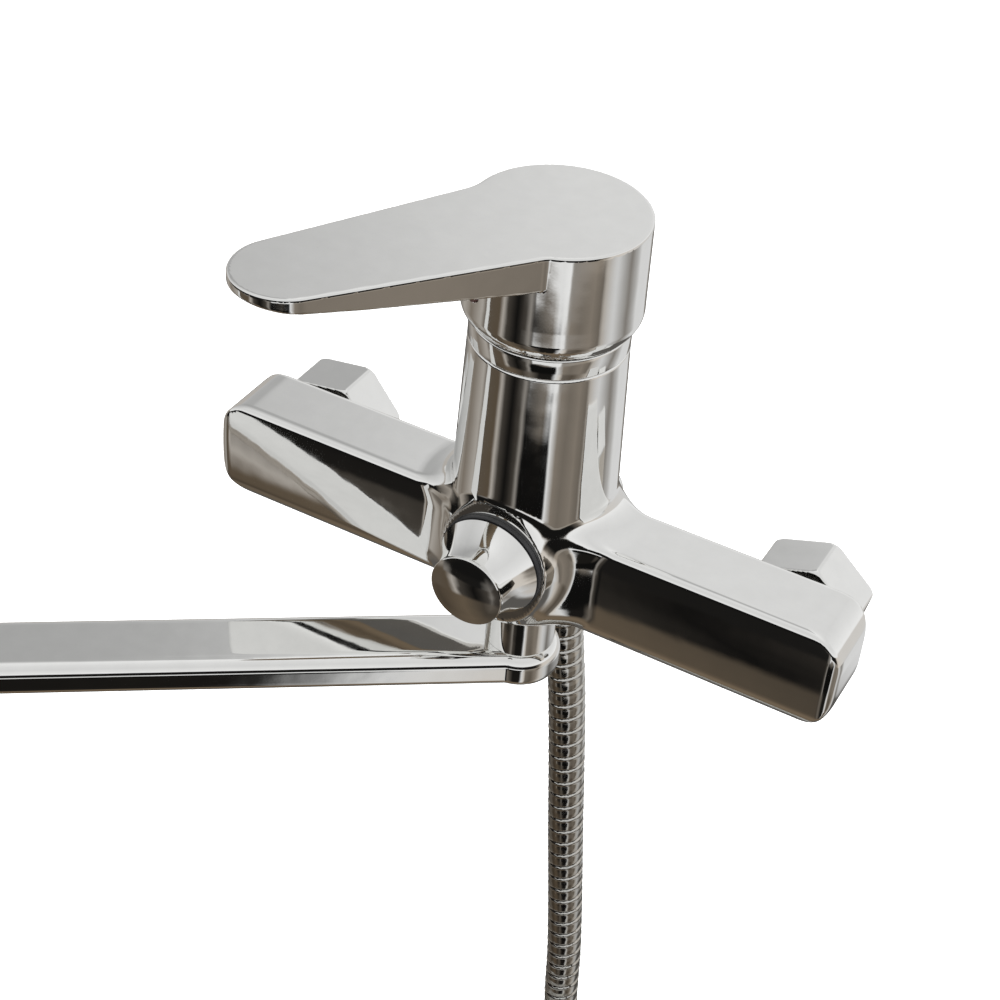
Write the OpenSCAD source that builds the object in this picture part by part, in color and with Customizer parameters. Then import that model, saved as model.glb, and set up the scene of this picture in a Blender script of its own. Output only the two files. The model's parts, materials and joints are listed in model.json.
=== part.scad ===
// Wall mounted single lever bath mixer with a swivel spout, a rotary diverter and a metal shower hose.
// Frame: X along the wall, +Y into the wall, +Z up. The origin lies midway between the two wall
// connections, on the back faces of the union nuts.

/* [Inlets] */
// Distance between the two inlet axes
inlet_spacing = 150; // [140:1:160]
// Width across the flats of a union nut
nut_flats = 30; // [29:0.5:32]
// Length of a union nut along its axis
nut_length = 14.6; // [12:0.1:16]

/* [Body] */
// Depth of the barrel axis in front of the union nuts
barrel_depth = 27; // [26:0.5:30]
// Radius of the barrel at its top
barrel_top_r = 21.1; // [21:0.1:22]
// Radius of the barrel at the level of the inlets
barrel_low_r = 23.4; // [23:0.1:25]
// Height of the top of the barrel above the inlet axes
barrel_top = 69; // [69:0.5:71]
// Depth of the arms from front to back
arm_depth = 21.3; // [20.5:0.1:23]
// Height of the arms' flat top above the inlet axes
arm_top = 17.2; // [16:0.1:18]
// Distance from the inlet axes to the underside of the arms
arm_bottom = 17.7; // [17:0.1:18]

/* [Lever] */
// Height of the lever's flat top
lever_top = 105.5; // [104:0.5:110]
// Radius of the round top of the lever
lever_r = 23.2; // [23:0.1:24]
// Reach of the lever from the barrel axis
lever_reach = 87; // [80:1:100]
// Angle of the lever away from straight ahead, towards the hot side
lever_turn = 33; // [-50:1:50]

/* [Diverter] */
// Height of the diverter axis above the inlet axes
diverter_z = 7.8; // [7:0.1:9]
// Radius of the knob at its base
knob_base_r = 14.6; // [14:0.1:15]
// Radius of the knob at its front
knob_front_r = 10.5; // [10:0.1:13]
// Length of the knob
knob_length = 14.1; // [11:0.1:15]

/* [Spout] */
// Reach of the spout from the barrel axis to the outlet
spout_reach = 350; // [200:10:400]
// Width of the flat spout
spout_width = 22; // [22:0.5:24]
// Height of the spout's flat top
spout_top = -34; // [-36:0.5:-33]
// Thickness of the spout from top to bottom
spout_thick = 11; // [11:0.5:12]
// Angle of the spout away from straight ahead, towards the hot side
spout_turn = 55; // [-90:1:90]

/* [Hose] */
// Outside diameter of the metal hose
hose_d = 12; // [11:0.5:13]
// Radius of the stored coil at the middle of its turns
coil_r = 62; // [60:1:72]
// Turns that lie side by side in the stored coil
coil_rows = 4; // [4:1:5]

/* [Hidden] */

$fn = 96;
eps = 0.02;        // overlap that makes a cut clean
run_gap = 0.05;    // radial clearance of a shaft that turns in a hole
free_gap = 0.3;    // clearance between bodies that only pass each other
undercut = 0.9;    // room round a flange behind a thread

chrome = "#d8dadb";
brass = "#c7a457";
white_plastic = "#ecebe6";
ceramic = "#f2f0ea";
rubber = "#26272a";
black_plastic = "#17181a";
steel = "#b9bbb9";

inlet_x = inlet_spacing / 2;
axis_y = -barrel_depth;
arm_back = axis_y + 10;
arm_front = arm_back - arm_depth;
arm_end = inlet_x + 21.2;  // distance from the middle to an arm's end
arm_end_low_r = 16.8;      // rounding of an arm's end where it meets the underside
arm_end_top_r = 11.4;      // rounding of an arm's end where it meets the top
arm_bottom_r = 9.3;        // rounding of the arms' underside from front to back
arm_edge_r = 2.6;            // rounding of the arms' top edges
body_bottom = -arm_bottom;
barrel_bottom_r = 12.5;    // rounding of the barrel's lower end

thread_r = 12.06;          // minor radius of the three quarter inch pipe thread
thread_length = 7.4;
nut_shoulder = 4.2;        // wall that the inlet bush's flange pulls on
bush_r = 10;
flange_r = 11.8;
flange_thick = 1.6;
gasket_thick = 1.1;
bush_depth = 12;           // length of the bush inside the casting
arm_channel_r = 6;

cartridge_seat = 28;
cartridge_r = 17.4;
cartridge_bore_r = 17.6;
top_bore_r = 19;
top_bore_z = 58;
ports = [[-8, -3], [8, -3], [0, 8.5]];
port_r = 3.2;
riser_foot_x = 19.5;

base_top = 45;
fixed_top = 49.5;
moving_top = 53.5;
carrier_top = 58.5;
housing_top = 66;
rotor_flange = [58.8, 61.9];
rotor_top = 71;
neck_r = 11.8;
pivot_z = 67.5;
ball_z = 57.4;
stem_square = 9;
stem_top = 95;
disc_offset = 2;           // rest place of the sliding disc behind the barrel axis

nut_top = 72;
ring_top = 74.9;
skirt_bottom = 75.4;
skirt_low_r = 21.6;
skirt_r = 23.6;
skirt_full_z = 79;
skirt_plain_z = 84;
skirt_inner_r = 21.5;
roof = 8;                  // thickness of the lever's flat top above the hollow
arm_root_w = 18.6;         // half width of the lever's arm beside the disc
arm_tip_r = 13.6;
arm_tip_thick = 3;
arm_root_thick = 10.5;
stem_boss_r = 9.8;         // boss under the lever's top that holds the stem
screw_z = 85;

diverter_bore_r = 10.2;
diverter_back = -16;
boss_r = 15.2;
boss_front = -49;
ring_thick = 1.3;
knob_back = boss_front - ring_thick - free_gap / 2;
knob_front = knob_back - knob_length;

neck_bush_r = 10;
stub_r = 7.5;
spout_bottom = spout_top - spout_thick;
spout_corner = 4;
collar_r = 12;
tip_r = 13;
tip_bottom = -47;
water_w = 15;
water_h = 6;

outlet_y = 4;
outlet_r = 12.5;
outlet_top = 2;
outlet_face = -18.7;
bridge_w = 22;             // bridge that carries the shower outlet behind the barrel
bridge_h = 15.6;
hose_thread_r = 10.4;
hose_nut_flats = 24;
hose_nut_z = [-39, -22];
ferrule_z = [-47, -39.4];
ferrule_r = 7.6;

hose_r = hose_d / 2;
entry_r = 60;              // radius of the bend that leads the hose into its coil
run_end_z = -216;
entry_turn = acos(entry_r / (coil_r + entry_r));
coil_x = 15;
coil_z = run_end_z - (coil_r + entry_r) * sin(entry_turn);
coil_start = 90 - entry_turn;
coil_end = 90;
coil_back = outlet_y + hose_r;
coil_depth = (coil_rows + 0.15) * hose_d;
end_y = outlet_y - (coil_rows - 0.85) * hose_d;
tail = 42;                 // straight length between the coil and the end ferrule

// The hose's hand laid way from its exit down to the bend above the coil
route = [[0, 4, -47], [0.5, 4, -56], [1.8, 4, -66], [3.6, 4, -80], [5.4, 4, -98], [7.2, 4, -118],
    [9.1, 4, -140], [11, 4, -160], [12.8, 4, -180], [14.2, 4, -198], [15, 4, -216]];

function toward(angle) = [-sin(angle), -cos(angle), 0];
function nut_radius(flats) = flats / 2 / cos(30);
function barrel_r(z) = barrel_low_r + (barrel_top_r - barrel_low_r) * z / barrel_top;

// A point on the barrel axis at a height
module on_axis(z = 0) { translate([0, axis_y, z]) children(); }

// Turns a shape that lies along -Y to the lever's direction, about the barrel axis
module at_lever() { on_axis() rotate([0, 0, -lever_turn]) children(); }

// Turns a shape that lies along -Y to the spout's direction, about the barrel axis
module at_spout() { on_axis() rotate([0, 0, -spout_turn]) children(); }

// A cylinder along Y between two depths
module y_cylinder(r, y0, y1, x = 0, z = 0, r1 = 0) {
    translate([x, y1, z]) rotate([90, 0, 0]) cylinder(r1 = r1 == 0 ? r : r1, r2 = r, h = y1 - y0);
}

// A round bar between two points
module bar(a, b, r) {
    v = b - a;
    h = norm(v);
    translate(a) rotate([0, acos(v.z / h), atan2(v.y, v.x)]) rotate([0, 0, 40]) cylinder(r = r, h = h);
}

// A flat ring along Z
module washer(r_out, r_in, h) {
    difference() {
        cylinder(r = r_out, h = h);
        translate([0, 0, -eps]) cylinder(r = r_in, h = h + 2 * eps);
    }
}

// A hexagon nut blank along Z, with the corners turned off at both ends
module hex_blank(flats, h) {
    corner = nut_radius(flats);
    chamfer = 1.2;
    intersection() {
        cylinder(r = corner, h = h, $fn = 6);
        rotate_extrude() polygon([[0, 0], [corner - chamfer, 0], [corner, chamfer],
            [corner, h - chamfer], [corner - chamfer, h], [0, h]]);
    }
}

/* Body */

// One arm's outer form, from the barrel axis to the rounded end round the inlet
module arm_form(side) {
    intersection() {
        rotate([90, 0, 90]) mirror([0, 0, side < 0 ? 1 : 0])
            linear_extrude(height = arm_end) arm_section();
        y_extrude(arm_front - 1, arm_back + 1) arm_face(side);
    }
}

// Section of an arm across its length: flat top, upright front and back, round underside
module arm_section() {
    r = arm_bottom_r;
    e = arm_edge_r;
    translate([arm_front, 0]) {
        translate([0, -arm_bottom + r]) square([arm_depth, arm_top + arm_bottom - r - e]);
        translate([e, 0]) square([arm_depth - 2 * e, arm_top]);
        translate([r, -arm_bottom]) square([arm_depth - 2 * r, arm_bottom]);
        for (x = [e, arm_depth - e]) translate([x, arm_top - e]) circle(e);
        for (x = [r, arm_depth - r]) translate([x, -arm_bottom + r]) circle(r);
    }
}

// Front view of an arm: its end is rounded widely below and less above
module arm_face(side) {
    low = arm_end_low_r;
    top = arm_end_top_r;
    mirror([side < 0 ? 1 : 0, 0]) {
        translate([-1, -arm_bottom]) square([arm_end - low + 1, arm_top + arm_bottom]);
        translate([arm_end - low, -arm_bottom + low]) circle(low);
        translate([arm_end - low - 1, -arm_bottom + low]) square([low + 1, arm_top - top + arm_bottom - low]);
        translate([arm_end - low - 1, -arm_bottom + low]) square([low - top + 1, arm_top + arm_bottom - low]);
        translate([arm_end - top, arm_top - top]) circle(top);
    }
}

module y_extrude(y0, y1) {
    translate([0, y1, 0]) rotate([90, 0, 0]) linear_extrude(height = y1 - y0) children();
}

module body_casting() {
    color(chrome) difference() {
        union() {
            for (side = [-1, 1]) arm_form(side);
            on_axis(body_bottom) rotate_extrude() intersection() {
                square([barrel_low_r, barrel_bottom_r]);
                union() {
                    square([barrel_low_r - barrel_bottom_r, barrel_bottom_r]);
                    translate([barrel_low_r - barrel_bottom_r, barrel_bottom_r]) circle(barrel_bottom_r);
                }
            }
            on_axis(body_bottom + barrel_bottom_r)
                cylinder(r1 = barrel_low_r, r2 = barrel_top_r, h = barrel_top - body_bottom - barrel_bottom_r);
            y_cylinder(boss_r, boss_front, axis_y, z = diverter_z);
            translate([0, outlet_y, outlet_face]) cylinder(r = outlet_r, h = outlet_top - outlet_face);
            translate([-bridge_w / 2, axis_y, outlet_face + 1.7]) cube([bridge_w, outlet_y - axis_y, bridge_h]);
        }
        on_axis(cartridge_seat) cylinder(r = cartridge_bore_r, h = barrel_top);
        on_axis(top_bore_z) cylinder(r = top_bore_r, h = barrel_top);
        for (side = [-1, 1]) {
            y_cylinder(bush_r + run_gap, arm_back - bush_depth, arm_back + 1, x = side * inlet_x);
            y_cylinder(bush_r - 2.5, axis_y - arm_channel_r, arm_back, x = side * inlet_x);
            bar([side * inlet_x, axis_y, 0], [side * (riser_foot_x - 2), axis_y, 0], arm_channel_r);
            bar([side * riser_foot_x, axis_y, 0], [side * 8, axis_y - 3, cartridge_seat + 2], port_r);
        }
        bar([0, axis_y + 8.5, cartridge_seat + 2], [0, axis_y + 6, diverter_z], port_r + 0.6);
        y_cylinder(boss_r + free_gap, boss_front - 4, boss_front, z = diverter_z);
        y_cylinder(diverter_bore_r, boss_front - 5, diverter_back, z = diverter_z);
        y_cylinder(11.6, boss_front - 6, boss_front + 9, z = diverter_z);
        on_axis(outlet_face - 1) cylinder(r = 6, h = diverter_z - outlet_face);
        on_axis(outlet_face - 1) cylinder(r = 8.55, h = 10);
        y_cylinder(4.5, diverter_back - 2, outlet_y, z = -4);
        translate([0, outlet_y, outlet_face - 1]) cylinder(r = 8.55, h = 9);
        translate([0, outlet_y, outlet_face - 1]) cylinder(r = 5.5, h = 14);
    }
}

module cover_ring() {
    edge = 1;
    web = 1.7;
    color(chrome) on_axis() rotate_extrude() polygon([[19.3, barrel_top], [barrel_top_r, barrel_top],
        [barrel_top_r, ring_top - edge], [barrel_top_r - edge, ring_top], [13.2, ring_top],
        [13.2, ring_top - web], [19.3, ring_top - web]]);
}

/* Cartridge */

module cartridge_nut() {
    color(brass) on_axis() difference() {
        union() {
            translate([0, 0, 60]) cylinder(r = top_bore_r - run_gap, h = 9.4);
            translate([0, 0, 69]) cylinder(r = 18.4, h = nut_top - 69, $fn = 6);
        }
        translate([0, 0, 59]) cylinder(r = cartridge_r + run_gap, h = housing_top - 59);
        cylinder(r = neck_r + 0.6, h = nut_top + 1);
    }
}

module cartridge_housing() {
    color(white_plastic) on_axis() rotate_extrude() polygon([[16.3, base_top], [cartridge_r, base_top],
        [cartridge_r, housing_top], [neck_r + run_gap, housing_top], [neck_r + run_gap, 62.2], [16.3, 62.2]]);
}

module cartridge_base() {
    groove = 1.5;
    color(white_plastic) on_axis() difference() {
        translate([0, 0, cartridge_seat + free_gap]) cylinder(r = cartridge_r, h = base_top - cartridge_seat - free_gap);
        for (p = ports) translate([p.x, p.y, cartridge_seat]) {
            cylinder(r = port_r, h = base_top);
            cylinder(r = port_r + 1.6, h = groove);
        }
    }
}

module cartridge_seals() {
    color(rubber) for (p = ports) translate([p.x, axis_y + p.y, cartridge_seat]) washer(port_r + 1.5, port_r, 1.5);
}

module fixed_disc() {
    color(ceramic) on_axis() difference() {
        translate([0, 0, base_top]) cylinder(r = 16, h = fixed_top - base_top);
        for (p = ports) translate([p.x, p.y, base_top - 1]) cylinder(r = port_r - 0.4, h = 10);
    }
}

module moving_disc() {
    color(ceramic) at_lever() translate([0, disc_offset, fixed_top]) difference() {
        cylinder(r = 13.4, h = moving_top - fixed_top);
        translate([0, 3, -1]) cylinder(r = 6, h = 3);
    }
}

module disc_carrier() {
    color(white_plastic) at_lever() translate([0, disc_offset, 0]) difference() {
        translate([0, 0, moving_top]) cylinder(r = 12.6, h = carrier_top - moving_top);
        translate([0, -disc_offset, moving_top + 0.8]) cylinder(r = 3.2, h = carrier_top);
        translate([0, -disc_offset, carrier_top - 1.6]) cylinder(r = 5.2, h = 4);
    }
}

module stem_rotor() {
    color("#c94f3c") at_lever() difference() {
        union() {
            translate([0, 0, rotor_flange[0]]) cylinder(r = 16, h = rotor_flange[1] - rotor_flange[0]);
            translate([0, 0, rotor_flange[1] - eps]) cylinder(r = neck_r, h = rotor_top - rotor_flange[1]);
        }
        translate([-stem_square / 2 - 0.4, -8.4, rotor_flange[0] - 1]) cube([stem_square + 0.8, 16.8, 14]);
        translate([-15, 0, pivot_z]) rotate([0, 90, 0]) cylinder(r = 1.6, h = 30);
    }
}

module stem_pin() {
    color(steel) at_lever() translate([-11, 0, pivot_z]) rotate([0, 90, 0]) cylinder(r = 1.6, h = 22);
}

module lever_stem() {
    side = stem_square;
    color(brass) at_lever() difference() {
        union() {
            translate([-side / 2, -side / 2, 65]) cube([side, side, stem_top - 65]);
            translate([0, 0, ball_z]) cylinder(r = 2.4, h = 10);
            translate([0, 0, ball_z]) sphere(r = 2.8);
        }
        translate([-15, 0, pivot_z]) rotate([0, 90, 0]) cylinder(r = 1.6 + run_gap, h = 30);
    }
}

/* Lever */

// Plan of the lever's arm from the barrel axis outwards, along -Y
module lever_plan() {
    tip = lever_reach - arm_tip_r;
    translate([0, -tip]) circle(arm_tip_r);
    polygon([[-arm_root_w, -14], [arm_root_w, -14], [arm_tip_r, -tip], [-arm_tip_r, -tip]]);
}

// Side view of the arm: flat top, underside that rises towards the tip
module lever_side() {
    polygon([[-10, lever_top], [-lever_reach - 1, lever_top],
        [-lever_reach - 1, lever_top - arm_tip_thick], [-20, lever_top - arm_root_thick],
        [-10, lever_top - arm_root_thick]]);
}

module lever_handle() {
    inner_roof = lever_top - roof;
    color(chrome) at_lever() difference() {
        union() {
            intersection() {
                translate([0, 0, lever_top - 20]) linear_extrude(height = 30) lever_plan();
                translate([-30, 0, 0]) rotate([90, 0, 90]) linear_extrude(height = 60) lever_side();
            }
            rotate_extrude() polygon([[0, skirt_bottom], [skirt_low_r, skirt_bottom], [skirt_r - 0.6, skirt_full_z - 1.6],
                [skirt_r, skirt_full_z], [lever_r, skirt_plain_z], [lever_r, lever_top], [0, lever_top]]);
        }
        translate([0, 0, skirt_bottom - 1]) cylinder(r = 20.9, h = 4);
        difference() {
            translate([0, 0, skirt_bottom + 2]) cylinder(r = skirt_inner_r, h = inner_roof - skirt_bottom - 2);
            translate([0, 0, 84]) cylinder(r = stem_boss_r, h = 30);
        }
        translate([-stem_square / 2 - 0.03, -stem_square / 2 - 0.03, 60]) cube([stem_square + 0.06, stem_square + 0.06, stem_top + 0.5 - 60]);
        y_cylinder(2.5, -9.5, 0, z = screw_z + 2.5);
        y_cylinder(2.8, -30, -9, z = screw_z + 2.5);
    }
}

module handle_screw() {
    color(steel) at_lever() difference() {
        y_cylinder(2.45, -10, -stem_square / 2, z = screw_z + 2.5);
        translate([0, -10 + 2.5, screw_z + 2.5]) rotate([90, 0, 0]) cylinder(r = 1.4, h = 5, $fn = 6);
    }
}

module index_plug() {
    color("#b1332c") at_lever() difference() {
        y_cylinder(2.75, -23.9, -19, z = screw_z + 2.5);
        y_cylinder(1.8, -21, -18, z = screw_z + 2.5);
    }
}

/* Inlets */

module inlet_bush(side) {
    flange_front = -nut_length + nut_shoulder + 0.1;
    color(brass) difference() {
        union() {
            y_cylinder(bush_r, arm_back - bush_depth, -nut_length + 1, x = side * inlet_x);
            y_cylinder(flange_r, flange_front, flange_front + flange_thick, x = side * inlet_x);
            y_cylinder(bush_r, -nut_length, flange_front + eps, x = side * inlet_x);
        }
        y_cylinder(7.5, arm_back - bush_depth - 1, 1, x = side * inlet_x);
    }
}

module inlet_gasket(side) {
    face = -nut_length + nut_shoulder + 0.1 + flange_thick;
    color(rubber) difference() {
        y_cylinder(flange_r, face, face + gasket_thick, x = side * inlet_x);
        y_cylinder(8, face - 1, face + gasket_thick + 1, x = side * inlet_x);
    }
}

module union_nut(side, turn) {
    color(chrome) difference() {
        translate([side * inlet_x, 0, 0]) rotate([90, 0, 0]) rotate([0, 0, turn]) hex_blank(nut_flats, nut_length);
        y_cylinder(thread_r, -thread_length, 1, x = side * inlet_x);
        y_cylinder(flange_r + undercut, -nut_length + nut_shoulder, -thread_length, x = side * inlet_x);
        y_cylinder(bush_r + run_gap, -nut_length - 1, 0, x = side * inlet_x);
    }
}

module inlet_bush_hot() { inlet_bush(-1); }
module inlet_bush_cold() { inlet_bush(1); }
module inlet_gasket_hot() { inlet_gasket(-1); }
module inlet_gasket_cold() { inlet_gasket(1); }
module union_nut_hot() { union_nut(-1, 9); }
module union_nut_cold() { union_nut(1, 19); }

/* Diverter */

module diverter_seal() {
    color(rubber) translate([0, diverter_back, diverter_z]) rotate([90, 0, 0]) washer(9.6, 8, 1.2);
}

module diverter_disc_fixed() {
    color(ceramic) difference() {
        y_cylinder(9.8, -20.4, -17.2, z = diverter_z);
        y_cylinder(2.6, -21, -16, x = -4, z = diverter_z);
        y_cylinder(2.6, -21, -16, x = 4, z = diverter_z);
    }
}

module diverter_disc_moving() {
    color(ceramic) difference() {
        y_cylinder(9, -23.6, -20.4, z = diverter_z);
        y_cylinder(3, -21.9, -20, x = 4, z = diverter_z);
    }
}

module diverter_housing() {
    color(white_plastic) difference() {
        y_cylinder(10.1, -43, -24, z = diverter_z);
        y_cylinder(7.4, -28.1, -23, z = diverter_z);
        y_cylinder(4 + run_gap, -44, -23, z = diverter_z);
        for (x = [-7, 7]) y_cylinder(1.6, -44, -23, x = x, z = diverter_z);
    }
}

module diverter_nut() {
    color(brass) difference() {
        y_cylinder(11.5, -48.7, -43.1, z = diverter_z);
        y_cylinder(4.6, -50, -42, z = diverter_z);
    }
}

module diverter_stem() {
    color(brass) difference() {
        union() {
            y_cylinder(7.2, -27.8, -23.6, z = diverter_z);
            y_cylinder(4, -58, -27, z = diverter_z);
        }
        y_cylinder(1.5, -59, -46, z = diverter_z);
    }
}

module diverter_ring() {
    color(black_plastic) translate([0, boss_front, diverter_z]) rotate([90, 0, 0]) washer(boss_r - 0.2, 5, ring_thick);
}

module diverter_knob() {
    dome = 1.4;
    color(chrome) difference() {
        union() {
            y_cylinder(knob_front_r, knob_front + dome, knob_back, z = diverter_z, r1 = knob_base_r);
            translate([0, knob_front + dome, diverter_z]) rotate([90, 0, 0]) rotate_extrude() intersection() {
                translate([0, dome - dome_r(dome)]) circle(dome_r(dome), $fn = 360);
                square([knob_front_r, dome]);
            }
        }
        y_cylinder(4.02, -58.1, knob_back + 1, z = diverter_z);
        y_cylinder(10.4, knob_back - 6, knob_back + 1, z = diverter_z);
    }
}

// Radius of the sphere whose cap closes the knob's front at a given height
function dome_r(h) = (knob_front_r * knob_front_r + h * h) / 2 / h;

module diverter_screw() {
    color(steel) y_cylinder(1.45, -57.9, -47, z = diverter_z);
}

/* Spout */

module spout_bush() {
    color(chrome) on_axis() difference() {
        union() {
            translate([0, 0, outlet_face]) cylinder(r = 8.5, h = 8);
            translate([0, 0, spout_top + 0.05]) cylinder(r = neck_bush_r, h = body_bottom - spout_top - 0.1);
            translate([0, 0, spout_bottom + 2.2]) cylinder(r = stub_r, h = 20);
        }
        translate([0, 0, spout_bottom + 5]) cylinder(r = 4.6, h = 40);
        rotate([0, 0, 90 - spout_turn]) translate([-10, 0, spout_top - 5.5]) rotate([0, 90, 0]) cylinder(r = 1.4, h = 20);
        rotate([0, 0, -spout_turn]) translate([-10, 0, spout_top - 5.5]) rotate([0, 90, 0]) cylinder(r = 1.4, h = 20);
        for (z = [spout_top - 1.9, spout_bottom + 3]) translate([0, 0, z]) washer(stub_r + 1, stub_r - 0.8, 1.1);
        translate([0, 0, spout_bottom]) cylinder(r = 1.6, h = 8);
    }
}

module spout_orings() {
    color(rubber) on_axis() for (z = [spout_top - 1.85, spout_bottom + 3.05])
        translate([0, 0, z]) washer(stub_r, stub_r - 0.75, 1);
}

// Section across the spout: a flat bar with rounded long edges
module spout_section(w, h, r) {
    for (x = [-1, 1]) for (z = [-1, 1]) translate([x * (w / 2 - r), z * (h / 2 - r)]) circle(r);
    square([w, h - 2 * r], center = true);
    square([w - 2 * r, h], center = true);
}

module spout() {
    mid = (spout_top + spout_bottom) / 2;
    color(chrome) at_spout() difference() {
        union() {
            translate([0, 0, mid]) rotate([90, 0, 0]) linear_extrude(height = spout_reach)
                spout_section(spout_width, spout_thick, spout_corner);
            rounded_disc(collar_r, spout_top, spout_bottom);
            translate([0, -spout_reach, 0]) rounded_disc(tip_r, spout_top, tip_bottom);
        }
        translate([0, 0, spout_bottom - 1]) cylinder(r = stub_r + run_gap, h = spout_thick + 2);
        translate([0, 0, mid]) rotate([90, 0, 0]) linear_extrude(height = spout_reach)
            spout_section(water_w, water_h, 2.5);
        translate([0, -spout_reach, tip_bottom - 1]) cylinder(r = 11.05, h = 9);
    }
}

// A disc about Z with rounded edges
module rounded_disc(r, top, bottom) {
    e = 3;
    rotate_extrude() {
        translate([0, bottom + 1]) square([r, top - bottom - 1 - e]);
        translate([0, bottom]) square([r - 1, 2]);
        translate([r - 1, bottom + 1]) circle(1);
        translate([0, top - e - 1]) square([r - e, e + 1]);
        translate([r - e, top - e]) intersection() {
            circle(e);
            square(e + 1);
        }
    }
}

module spout_screw() {
    color(chrome) on_axis(spout_bottom - 1.4) difference() {
        union() {
            cylinder(r = 8.6, h = 1.1);
            cylinder(r = 7.3, h = 3.5);
            cylinder(r = 1.6, h = 8);
        }
        translate([0, 0, -1]) cylinder(r = 2.3, h = 2.6, $fn = 6);
    }
}

module aerator_housing() {
    color(chrome) at_spout() translate([0, -spout_reach, 0]) rotate_extrude() polygon([[9.3, -50.5], [11.6, -50.5],
        [12.2, -49.9], [12.2, tip_bottom - 0.05], [11, tip_bottom - 0.05], [11, -41], [10.2, -41], [10.2, -48.6], [9.3, -48.6]]);
}

module aerator_insert() {
    pitch = 3.2;
    color(white_plastic) at_spout() translate([0, -spout_reach, -48.5]) difference() {
        cylinder(r = 10.1, h = 7.5);
        for (ix = [-2 : 2]) for (iy = [-2 : 2]) if (norm([ix, iy]) < 2.6)
            translate([ix * pitch, iy * pitch, -1]) cylinder(r = 1.2, h = 10, $fn = 24);
    }
}

module aerator_gasket() {
    color(rubber) at_spout() translate([0, -spout_reach, -40.9]) washer(10.9, 8.4, 1.9);
}

/* Shower outlet and hose */

module shower_outlet() {
    color(chrome) translate([0, outlet_y, 0]) difference() {
        union() {
            translate([0, 0, outlet_face]) cylinder(r = 8.5, h = 7.9);
            translate([0, 0, outlet_face - 3]) cylinder(r = 11.6, h = 3);
            translate([0, 0, -31]) cylinder(r = hose_thread_r, h = 11);
        }
        translate([0, 0, -32]) cylinder(r = 5, h = 30);
        translate([0, 0, -32]) cylinder(r = 7, h = 9);
    }
}

module check_valve() {
    color(black_plastic) translate([0, outlet_y, -30.8]) difference() {
        cylinder(r = 6.95, h = 7.6);
        translate([0, 0, -1]) cylinder(r = 3.4, h = 5);
        for (k = [0 : 5]) rotate([0, 0, 60 * k]) translate([4.6, 0, -1]) cylinder(r = 1.1, h = 10, $fn = 24);
    }
}

module hose_gasket_top() {
    color(rubber) translate([0, outlet_y, -33.1]) washer(10.2, 6, 2);
}

module hose_nut_top() {
    color(chrome) translate([0, outlet_y, 0]) difference() {
        translate([0, 0, hose_nut_z[0]]) hex_blank(hose_nut_flats, hose_nut_z[1] - hose_nut_z[0]);
        translate([0, 0, -36]) cylinder(r = hose_thread_r + 0.03, h = 20);
        translate([0, 0, -50]) cylinder(r = ferrule_r + run_gap, h = 20);
    }
}

module hose_ferrule_top() {
    color(chrome) translate([0, outlet_y, 0]) difference() {
        union() {
            translate([0, 0, -35.9]) cylinder(r = 10.1, h = 2.7);
            translate([0, 0, ferrule_z[0]]) cylinder(r = ferrule_r, h = -35 - ferrule_z[0]);
        }
        translate([0, 0, -43]) cylinder(r = 4, h = 20);
    }
}

// Points round a ring of a swept tube, square to its way
function ring_points(p, dir, r, n) =
    let (side = [0, 1, 0], up = cross(dir, side) / norm(cross(dir, side)))
    [for (k = [0 : n - 1]) p + r * (cos(360 * k / n) * side + sin(360 * k / n) * up)];

// The bend that leads from the run into the coil
entry_steps = 4;
entry = [for (k = [1 : entry_steps]) let (t = entry_turn * k / entry_steps)
    [coil_x + entry_r * (1 - cos(t)), outlet_y, run_end_z - entry_r * sin(t)]];
way = concat(route, entry);

module swept_tube(points, r, n) {
    last = len(points) - 1;
    dirs = [for (i = [0 : last]) let (d = points[min(i + 1, last)] - points[max(i - 1, 0)]) d / norm(d)];
    verts = [for (i = [0 : last]) each ring_points(points[i], dirs[i], r, n)];
    sides = [for (i = [0 : last - 1]) for (k = [0 : n - 1])
        [i * n + k, i * n + (k + 1) % n, (i + 1) * n + (k + 1) % n, (i + 1) * n + k]];
    ends = [[for (k = [n - 1 : -1 : 0]) k], [for (k = [0 : n - 1]) last * n + k]];
    polyhedron(verts, concat(sides, ends), convexity = 4);
}

module shower_hose() {
    color(steel) swept_tube(way, hose_r, 12);
}

module shower_hose_coil() {
    edge = 4;
    color(steel) translate([coil_x, coil_back, coil_z]) rotate([90, 0, 0]) rotate_extrude() translate([coil_r, 0])
        polygon([[-hose_r, edge], [-hose_r + edge, 0], [hose_r - edge, 0], [hose_r, edge],
            [hose_r, coil_depth - edge], [hose_r - edge, coil_depth], [edge - hose_r, coil_depth], [-hose_r, coil_depth - edge]]);
}

module shower_hose_tail() {
    color(steel) translate([coil_x + coil_r, end_y, coil_z - tail]) cylinder(r = hose_r, h = tail);
}

module hose_tie() {
    wall = 1.2;
    width = 16;
    color(black_plastic) translate([coil_x - coil_r, coil_back, coil_z - width / 2]) difference() {
        translate([-hose_r - wall, -coil_depth - wall, 0]) cube([hose_d + 2 * wall, coil_depth + 2 * wall, width]);
        translate([-hose_r, -coil_depth, -1]) cube([hose_d, coil_depth, width + 2]);
    }
}

module hose_ferrule_end() {
    color(chrome) translate([coil_x + coil_r, end_y, coil_z - tail]) difference() {
        union() {
            translate([0, 0, -14]) cylinder(r = ferrule_r, h = 14);
            translate([0, 0, -14]) cylinder(r = 9, h = 2);
        }
        translate([0, 0, -15]) cylinder(r = 4, h = 11);
    }
}

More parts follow.
